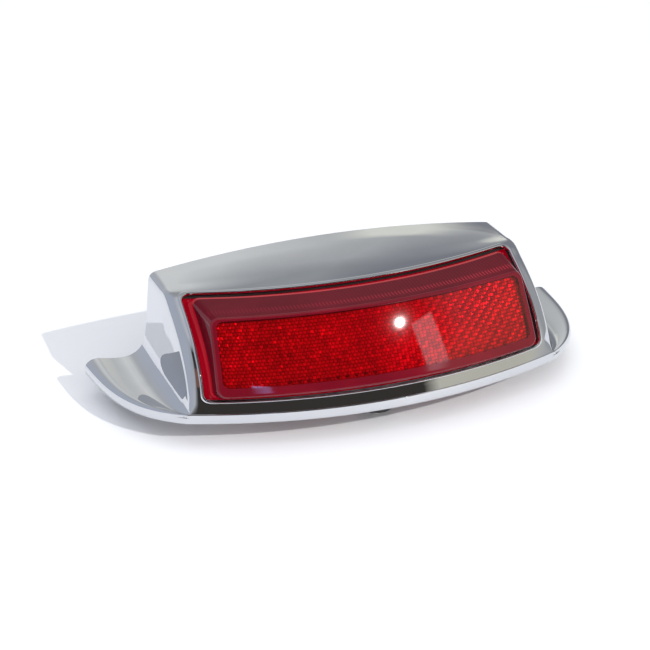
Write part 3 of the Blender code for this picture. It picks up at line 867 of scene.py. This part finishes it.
def sockets():
    arc = np.linspace(0, math.pi / 2, 9)
    for side, sign in SIDES:
        body, spot = "socket_" + side, tray_matrix(sign * SOCKET_X, SOCKET_W, TRAY_H)
        profile = [(0, -7.4), (6.0, -7.4), (6.0, 1.8), (6.2, 2.0), (7.0, 2.0), (7.2, 1.8), (7.2, -3.0), (9.9, -3.0),
                   (10.2, -3.3), (10.2, -4.7), (9.9, -5.0), (6.3, -5.0), (6.3, -10.8), (5.0, -12.0), (0, -12.0)]
        holder = lathe(body + "_fine", profile, 72, spot)
        for turn in (0, 180):
            boolean(holder, block("lug", (2.9, 2.8, 1.4), moved(spot, x=8.0, z=1.0, turn=turn), 0.2), "UNION")
        for turn in range(0, 360, 45):
            boolean(holder, block("grip", (2.6, 1.3, 5.4), moved(spot, x=7.2, z=-7.6, turn=turn), 0.25), "UNION")
        stand_in(holder, "bulb_socket_" + side, "socket_black", body)
        seal = [(7.6, -1.95), (7.8, -1.9), (9.6, -1.9), (9.8, -2.1), (9.8, -2.5), (9.6, -2.7), (7.6, -2.7)]
        stand_in(lathe("seal_" + side + "_fine", seal, 72, spot), "socket_seal_" + side, "black_rubber", body)
        base = block("base_" + side + "_fine", (8.6, 4.6, 9.6), moved(spot, z=-2.2), 0.5, 4)
        stand_in(base, "bulb_base_" + side, "bulb_base", body)
        for which, y in (("upper", 2.95), ("lower", -2.95)):
            strip = block("strip_" + which + "_" + side + "_fine", (4.0, 0.5, 8.0), moved(spot, y=y, z=-2.9), 0.12)
            stand_in(strip, "contact_" + which + "_" + side, "contact_brass", body)
        outer = [(4.9 * math.cos(a), 12.3 + 4.9 * math.sin(a)) for a in arc[:-1]]
        inner = [(4.3 * math.cos(a), 12.3 + 4.3 * math.sin(a)) for a in arc[-2::-1]]
        shell = [(3.6, 2.9), (4.6, 3.6), (4.9, 4.4)] + outer + [(0, 17.2), (0, 16.6)] + inner
        shell += [(4.3, 4.7), (3.0, 3.3)]
        stand_in(lathe("glass_" + side + "_fine", shell, 64, spot), "bulb_glass_" + side, "bulb_glass", body)
        coil = wire("filament_" + side + "_fine", filament_points(sign * SOCKET_X), 0.16)
        stand_in(coil, "bulb_filament_" + side, "filament", body, 60.0)


def leads():
    for side, sign in SIDES:
        start = np.array([sign * SOCKET_X, TRAY_H - 12.6])
        corners = [start, start + np.array([0, -3.1]), np.array([sign * 24.0, TRAY_H - 15.9]),
                   np.array([sign * 14.0, TRAY_H - 5.6]), np.array([sign * 7.9, TRAY_H - 5.2])]
        centres = []
        for u in np.linspace(0, 1, 49):
            p = sum(math.comb(4, i) * (1 - u) ** (4 - i) * u ** i * c for i, c in enumerate(corners))
            centres.append(tray_point(p[0], SOCKET_W, p[1]))
        stand_in(wire("lead_" + side + "_fine", centres, 1.08), "lead_" + side, "lead_jacket", "lamp", 60.0)
    connector = block("connector_fine", (14.6, 9.0, 6.0), tray_matrix(0, SOCKET_W, TRAY_H - 5.2), 0.8, 5)
    for y in (-2.2, 0.0, 2.2):
        boolean(connector, block("groove", (9.0, 0.7, 1.2), moved(tray_matrix(0, SOCKET_W, TRAY_H - 8.2), y=y)))
    stand_in(connector, "lead_connector", "connector_nylon")


# ---- materials ----

def node(tree, kind, inputs=None, **settings):
    """Adds a shader node; Math makes a ShaderNodeMath. inputs maps a socket to a value or to an output socket."""
    made = tree.nodes.new("ShaderNode" + kind)
    for key, value in settings.items():
        setattr(made, key, value)
    for key, value in (inputs or {}).items():
        socket = made.inputs[key]
        if isinstance(value, bpy.types.NodeSocket):
            tree.links.new(value, socket)
        else:
            socket.default_value = value
    return made


def math_node(tree, operation, *values):
    return node(tree, "Math", dict(enumerate(values)), operation=operation).outputs[0]


def times(tree, a, b):
    return math_node(tree, "MULTIPLY", a, b)


def ramp(tree, factor, stops):
    """Colour ramp; stops are (position, (r, g, b)) pairs."""
    made = node(tree, "ValToRGB", {0: factor})
    elements = made.color_ramp.elements
    while len(elements) < len(stops):
        elements.new(0.5)
    for element, (position, colour) in zip(elements, stops):
        element.position = position
        element.color = (*colour, 1.0)
    return made.outputs[0]


def value_ramp(tree, factor, low, high, out_low, out_high):
    return node(tree, "MapRange", {0: factor, 1: low, 2: high, 3: out_low, 4: out_high}).outputs[0]


def new_material(name):
    mat = bpy.data.materials.new(name)
    mat.use_nodes = True
    mat.node_tree.nodes.clear()
    return mat, mat.node_tree


def finished(mat, shader):
    """The material with the shader as its surface."""
    node(mat.node_tree, "OutputMaterial", {0: shader.outputs[0]})
    return mat


def principled(mat, inputs):
    return finished(mat, node(mat.node_tree, "BsdfPrincipled", inputs))


def blend(mat, factor, first, second):
    """The material with two shaders mixed by the factor."""
    inputs = {0: factor, 1: first.outputs[0], 2: second.outputs[0]}
    return finished(mat, node(mat.node_tree, "MixShader", inputs))


def noise(tree, scale, detail=3.0, rough=0.5, stretch=None):
    """Noise over the object's own coordinates, in repeats per metre."""
    coords = node(tree, "TexCoord").outputs["Object"]
    if stretch:
        coords = node(tree, "Mapping", {0: coords, 3: stretch}).outputs[0]
    return node(tree, "TexNoise", {"Vector": coords, "Scale": scale, "Detail": detail,
                                             "Roughness": rough}).outputs[0]


def bump(tree, height, strength, distance):
    return node(tree, "Bump", {"Height": height, "Strength": strength, "Distance": distance}).outputs[0]


def surface(name, colours, roughness, metallic=0.0, grain=(900.0, 0.1, 0.00004), scale=60.0):
    """General finish: two or three colours mixed by slow noise, roughness by medium noise, fine grain as bump.

    grain is the bump's repeats per metre, strength and depth in metres.
    """
    mat, tree = new_material(name)
    slow = noise(tree, scale, 4.0, 0.55)
    medium = noise(tree, scale * 6, 3.0, 0.5)
    fine = noise(tree, grain[0], 2.0, 0.5)
    stops = [(0.3 + 0.4 * k / max(1, len(colours) - 1), c) for k, c in enumerate(colours)]
    rough = value_ramp(tree, medium, 0.3, 0.7, *roughness)
    return principled(mat, {"Base Color": ramp(tree, slow, stops), "Roughness": rough, "Metallic": metallic,
                            "Normal": bump(tree, fine, *grain[1:])})


def chrome():
    """Bright plate: near-mirror, with faint haze patches, polishing marks and a very slight orange peel."""
    mat, tree = new_material("chrome_plate")
    haze = noise(tree, 45.0, 4.0, 0.6)
    marks = noise(tree, 260.0, 2.0, 0.6, (1.0, 9.0, 9.0))
    peel = noise(tree, 85.0, 1.0, 0.4)
    colour = ramp(tree, haze, [(0.3, (0.61, 0.625, 0.65)), (0.7, (0.65, 0.66, 0.685))])
    rough = value_ramp(tree, marks, 0.35, 0.75, 0.008, 0.028)
    return principled(mat, {"Base Color": colour, "Metallic": 1.0, "Roughness": rough,
                            "Normal": bump(tree, peel, 0.03, 0.0002)})


def lens_window():
    """Clear red skin over the prisms: tinted pass-through under a polished surface."""
    mat, tree = new_material("lens_window")
    streak = noise(tree, 70.0, 3.0, 0.5)
    tint = ramp(tree, streak, [(0.35, (0.78, 0.05, 0.13)), (0.65, (0.84, 0.06, 0.15))])
    clear = node(tree, "BsdfTransparent", {0: tint})
    peel = bump(tree, noise(tree, 55.0, 1.0, 0.4), 0.05, 0.0004)
    gloss = node(tree, "BsdfGlossy", {"Color": (1, 1, 1, 1), "Roughness": 0.03, "Normal": peel})
    fresnel = node(tree, "Fresnel", {"IOR": 1.49, "Normal": peel})
    return blend(mat, fresnel.outputs[0], clear, gloss)


def lens_solid(name, dark, light, specular, painted_glow=0.0, ribs=False):
    """Thick red plastic seen edge on: deep colour, polished, with ribs and a row of beads where ribs is true.

    The emission strength is painted light: a glow standing for the light that such plastic carries to its edges.
    """
    mat, tree = new_material(name)
    uv = node(tree, "UVMap", uv_map="wall").outputs[0]
    split = node(tree, "SeparateXYZ", {0: uv})
    x_mm = times(tree, split.outputs[0], 100.0)
    across = times(tree, split.outputs[1], 2.5)
    cloud = noise(tree, 40.0, 3.0, 0.55)
    colour = ramp(tree, cloud, [(0.3, dark), (0.7, light)])
    inputs = {"Base Color": colour, "Roughness": 0.07, "IOR": 1.49, "Specular IOR Level": specular,
              "Coat Weight": 0.0 if ribs else 0.05, "Coat Roughness": 0.03,
              "Emission Color": (1.0, 0.0, 0.03, 1.0), "Emission Strength": painted_glow}
    if ribs:
        wave = math_node(tree, "SINE", times(tree, x_mm, 2 * math.pi / RIB_PITCH))
        geometry = node(tree, "NewGeometry")
        upward = node(tree, "SeparateXYZ", {0: geometry.outputs["Normal"]}).outputs[2]
        top_only = value_ramp(tree, upward, 0.75, 0.9, 0.0, 1.0)
        band = times(tree, value_ramp(tree, across, 0.62, 0.68, 0.0, 1.0),
                         value_ramp(tree, across, 0.80, 0.86, 1.0, 0.0))
        dots = times(tree, times(tree, value_ramp(tree, wave, 0.1, 0.8, 0.0, 1.0), band), top_only)
        dots = times(tree, dots, value_ramp(tree, x_mm, 45.0, 160.0, 0.15, 1.0))
        mixed = node(tree, "Mix", {0: dots, 6: colour, 7: (0.34, 0.02, 0.035, 1.0)}, data_type="RGBA")
        inputs["Base Color"] = mixed.outputs[2]
        inputs["Normal"] = bump(tree, times(tree, wave, top_only), 0.05, 0.0002)
    return principled(mat, inputs)


def lens_inside():
    mat, tree = new_material("lens_inside")
    tint = ramp(tree, noise(tree, 60.0), [(0.3, (0.95, 0.75, 0.75)), (0.7, (1.0, 0.82, 0.82))])
    clear = node(tree, "BsdfTransparent", {0: tint})
    solid = node(tree, "BsdfPrincipled", {"Base Color": (0.35, 0.01, 0.02, 1.0), "Roughness": 0.25})
    return blend(mat, 0.12, clear, solid)


def reflex_material():
    """Moulded prisms: red, painted shade in the valleys and painted highlight at the tips; some cells brighter than
    others by painted glint and random tone.
    """
    mat, tree = new_material("reflex_red")
    uv = node(tree, "SeparateXYZ", {0: node(tree, "UVMap", uv_map="cell").outputs[0]})
    painted_valley_shade = ramp(tree, uv.outputs[1], [(0.0, (0.36, 0.05, 0.09)), (0.45, (0.80, 0.22, 0.32)),
                                        (1.0, (1.0, 0.46, 0.58))])
    cloud = value_ramp(tree, noise(tree, 90.0, 3.0), 0.3, 0.7, 0.85, 1.1)
    tone_and_painted_glint = times(tree, times(tree, uv.outputs[0], 2.0), cloud)
    tone = node(tree, "VectorMath", {0: painted_valley_shade, "Scale": tone_and_painted_glint}, operation="SCALE").outputs[0]
    rough = value_ramp(tree, noise(tree, 500.0), 0.3, 0.7, 0.16, 0.34)
    return principled(mat, {"Base Color": tone, "Roughness": rough, "Metallic": 0.2})


def clear_glass():
    mat, tree = new_material("bulb_glass")
    clear = node(tree, "BsdfTransparent", {0: ramp(tree, noise(tree, 80.0), [
        (0.3, (0.90, 0.92, 0.92)), (0.7, (0.97, 0.98, 0.98))])})
    gloss = node(tree, "BsdfGlossy", {"Roughness": 0.02})
    fresnel = node(tree, "Fresnel", {"IOR": 1.5})
    return blend(mat, fresnel.outputs[0], clear, gloss)


# colours, roughness range, metallic, grain and scale of each plain finish
FINISHES = {
    "satin_inside": ([(0.42, 0.42, 0.43), (0.55, 0.55, 0.57)], (0.28, 0.45), 1.0, (420.0, 0.35, 0.0002), 50.0),
    "reflex_pin": ([(0.03, 0.0, 0.002), (0.05, 0.0, 0.004)], (0.3, 0.5)),
    "black_rubber": ([(0.012, 0.012, 0.012), (0.03, 0.03, 0.031)], (0.55, 0.8), 0.0, (1400.0, 0.5, 0.0001), 70.0),
    "tray_white": ([(0.74, 0.74, 0.72), (0.85, 0.85, 0.83)], (0.35, 0.5), 0.0, (700.0, 0.25, 0.0001), 40.0),
    "connector_nylon": ([(0.62, 0.59, 0.50), (0.74, 0.71, 0.62)], (0.4, 0.55), 0.0, (900.0, 0.2, 0.00008), 90.0),
    "socket_black": ([(0.014, 0.014, 0.016), (0.035, 0.035, 0.038)], (0.35, 0.55), 0.0, (1100.0, 0.3, 0.0001), 110.0),
    "bulb_base": ([(0.42, 0.40, 0.36), (0.58, 0.56, 0.52)], (0.3, 0.45), 0.0, (800.0, 0.2, 0.00006), 130.0),
    "filament": ([(0.2, 0.2, 0.2), (0.36, 0.35, 0.34)], (0.3, 0.5), 1.0, (2500.0, 0.4, 0.00003), 400.0),
    "contact_brass": ([(0.62, 0.45, 0.18), (0.78, 0.62, 0.30)], (0.2, 0.4), 1.0, (900.0, 0.2, 0.00005), 160.0),
    "lead_jacket": ([(0.015, 0.015, 0.017), (0.035, 0.035, 0.04)], (0.4, 0.6), 0.0, (1200.0, 0.3, 0.00008), 120.0),
    "zinc_steel": ([(0.50, 0.51, 0.53), (0.66, 0.66, 0.64), (0.70, 0.70, 0.72)], (0.22, 0.42), 1.0,
                   (650.0, 0.3, 0.0001), 120.0),
}
MATERIALS = {name: surface(name, *facts) for name, facts in FINISHES.items()}
MATERIALS.update({
    "chrome_plate": chrome(),
    "lens_window": lens_window(),
    "lens_wall": lens_solid("lens_wall", (0.10, 0.002, 0.008), (0.15, 0.004, 0.012), 0.4),
    "lens_top": lens_solid("lens_top", (0.085, 0.004, 0.010), (0.12, 0.006, 0.014), 0.03, 0.0, True),
    # the flange's 0.16 is a painted glow
    "lens_flange": lens_solid("lens_flange", (0.16, 0.001, 0.005), (0.30, 0.003, 0.010), 0.3, 0.16),
    "lens_inside": lens_inside(),
    "reflex_red": reflex_material(),
    "bulb_glass": clear_glass(),
})


def dress_cad_nodes():
    """Gives each CAD node that stays the material of its slot."""
    for part in frame["record"]["subparts"]:
        obj = frame["nodes"][part["node"]]
        if obj.hide_render:
            continue
        obj.data.materials.clear()
        wear(obj, part["material_slot"])


# ---- stage: floor, light, camera ----

FLOOR_REACH = 6.0  # metres from the middle to each side of the floor


def floor_plane():
    mesh = bpy.data.meshes.new("floor")
    r = FLOOR_REACH
    mesh.from_pydata([(-r, -r, 0), (r, -r, 0), (r, r, 0), (-r, r, 0)], [], [(0, 1, 2, 3)])
    obj = object_from("floor", mesh)
    mat, tree = new_material("floor_white")
    colour = ramp(tree, noise(tree, 1.5, 3.0), [(0.3, (0.86, 0.87, 0.90)), (0.7, (0.90, 0.905, 0.925))])
    mesh.materials.append(principled(mat, {"Base Color": colour, "Roughness": 0.6, "Specular IOR Level": 0.15}))


def wrapped(tree, angle, centre):
    """The angle from the centre in degrees, between -180 and 180."""
    apart = math_node(tree, "ADD", math_node(tree, "SUBTRACT", angle, centre), 540.0)
    return math_node(tree, "SUBTRACT", math_node(tree, "MODULO", apart, 360.0), 180.0)


def soft_edge(tree, apart, size, soft):
    """1 within half the size either way, falling to 0 over the soft edge."""
    return value_ramp(tree, math_node(tree, "ABSOLUTE", apart), size / 2, size / 2 + soft, 1.0, 0.0)


def world_light():
    """Grey studio, paler low down and overhead, with soft panels and small cards, some of them coloured."""
    world = bpy.data.worlds.new("studio")
    bpy.context.scene.world = world
    world.use_nodes = True
    tree = world.node_tree
    tree.nodes.clear()
    x, y, z = node(tree, "SeparateXYZ", {0: node(tree, "TexCoord").outputs["Generated"]}).outputs
    elevation = times(tree, math_node(tree, "ARCSINE", z), 180 / math.pi)
    azimuth = times(tree, math_node(tree, "ARCTAN2", x, times(tree, y, -1.0)), 180 / math.pi)
    colour = ramp(tree, value_ramp(tree, elevation, SKY_LOW, SKY_HIGH, 0.0, 1.0), SKY_STOPS)
    for azim, elev, width, height, soft, tone in SKY_PATCHES:
        mask = times(tree, soft_edge(tree, wrapped(tree, azimuth, azim), width, soft),
                     soft_edge(tree, math_node(tree, "SUBTRACT", elevation, elev), height, soft))
        colour = node(tree, "Mix", {0: mask, 6: colour, 7: (*tone, 1.0)}, data_type="RGBA").outputs[2]
    back = node(tree, "Background", {0: colour, 1: SKY_STRENGTH})
    node(tree, "OutputWorld", {0: back.outputs[0]})


SKY_STRENGTH = 1.0
SKY_LOW, SKY_HIGH = -10.0, 90.0  # elevations at the ends of the ramp
SKY_STOPS = [
    (0.0, (0.95, 0.96, 1.0)), (0.12, (0.66, 0.67, 0.69)), (0.36, (0.56, 0.57, 0.57)), (0.50, (0.53, 0.54, 0.55)),
    (0.56, (0.40, 0.42, 0.43)), (0.80, (0.44, 0.45, 0.47)), (0.90, (0.70, 0.71, 0.74)), (1.0, (0.74, 0.75, 0.78)),
]
# azimuth from -Y towards +X, elevation, width, height, softness, colour
SKY_PATCHES = [
    (171.0, 20.0, 8.0, 16.0, 12.0, (0.84, 0.85, 0.84)),
    (126.0, 26.0, 40.0, 50.0, 8.0, (0.28, 0.29, 0.32)),
    (149.0, 8.0, 10.0, 19.0, 1.5, (0.28, 0.29, 0.32)),
    (154.5, 20.0, 3.0, 7.0, 3.0, (0.92, 0.92, 0.84)),
    (84.0, 20.0, 34.0, 70.0, 12.0, (0.44, 0.45, 0.46)),
    (-100.0, 20.0, 90.0, 90.0, 40.0, (0.52, 0.56, 0.65)),
    (5.0, 26.0, 60.0, 76.0, 7.0, (0.05, 0.045, 0.04)),
    (46.0, 8.0, 24.0, 34.0, 4.0, (0.66, 0.64, 0.55)),
    (-22.0, 34.0, 5.0, 20.0, 4.0, (0.26, 0.12, 0.09)),
    (-21.0, 1.5, 4.0, 3.0, 1.5, (0.32, 0.31, 0.28)),
    (-13.6, 9.0, 3.4, 3.4, 0.8, (0.16, 0.23, 0.36)),
    (-9.2, 10.6, 3.4, 4.0, 0.3, (0.95, 1.05, 1.30)),
    (-3.9, 12.0, 2.0, 3.4, 0.3, (0.46, 0.38, 0.05)),
    (-0.6, 12.4, 2.2, 4.4, 0.6, (0.12, 0.30, 0.46)),
    (4.6, 14.0, 3.2, 4.0, 0.8, (0.24, 0.26, 0.24)),
    (15.5, 15.0, 6.0, 2.4, 0.8, (0.26, 0.13, 0.06)),
    (24.0, 14.0, 3.4, 4.0, 1.0, (0.17, 0.26, 0.38)),
    (28.6, 14.0, 3.4, 4.6, 0.4, (0.42, 0.35, 0.07)),
    (34.2, 29.0, 4.6, 9.0, 0.5, (2.4, 2.3, 2.4)),
    (-6.8, 27.6, 3.6, 0.6, 0.2, (3.0, 3.8, 8.0)),
]


def soft_box(name, place_at, aim, size, power):
    """Square soft light, kept out of the reflections, that whitens the floor and softens the shadow."""
    light = bpy.data.lights.new(name, "AREA")
    light.shape = "SQUARE"
    light.size = size
    light.energy = power
    obj = object_from(name, light)
    obj.location = place_at
    obj.rotation_euler = (Vector(place_at) - Vector(aim)).to_track_quat("Z", "Y").to_euler()
    obj.visible_glossy = False


def sun():
    light = bpy.data.lights.new("sun", "SUN")
    light.energy = SUN_STRENGTH
    light.angle = math.radians(SUN_ANGLE)
    light.color = (1.0, 0.985, 0.96)
    obj = object_from("sun", light)
    azimuth, elevation = math.radians(SUN_AZIMUTH), math.radians(SUN_ELEVATION)
    towards = Vector((math.sin(azimuth) * math.cos(elevation), -math.cos(azimuth) * math.cos(elevation),
                      math.sin(elevation)))
    obj.rotation_euler = towards.to_track_quat("Z", "Y").to_euler()


SUN_STRENGTH = 1.7
SUN_ANGLE = 0.55
SUN_AZIMUTH = 29.4
SUN_ELEVATION = 35.2

CAMERA_TURN = 20.58642  # degrees from -Y towards -X
CAMERA_LIFT = 25.62784
CAMERA_PLACE = (-251.4163, -669.4359, 355.3490)
CAMERA_LENS = 110.77


def camera():
    turn, lift = math.radians(CAMERA_TURN), math.radians(CAMERA_LIFT)
    right = Vector((math.cos(turn), -math.sin(turn), 0.0))
    back = Vector((-math.sin(turn) * math.cos(lift), -math.cos(turn) * math.cos(lift), math.sin(lift)))
    up = back.cross(right)
    data = bpy.data.cameras.new("camera")
    data.lens = CAMERA_LENS
    data.sensor_width = 36.0
    data.clip_end = 50.0
    obj = object_from("camera", data)
    rot = Matrix((right, up, back)).transposed().to_4x4()
    obj.matrix_world = Matrix.Translation(Vector(place(CAMERA_PLACE))) @ rot
    bpy.context.scene.camera = obj


housing()
lens()
reflex()
bolts()
tray()
sockets()
leads()
dress_cad_nodes()
floor_plane()
world_light()
soft_box("overhead", (0.0, 0.3, 2.2), (0.0, 0.3, 0.0), 4.0, 28.0)
soft_box("front_fill", (-0.3, -2.2, 1.1), (0.0, 0.0, 0.0), 2.6, 42.0)
sun()
camera()
bpy.context.scene.view_settings.view_transform = "Standard"
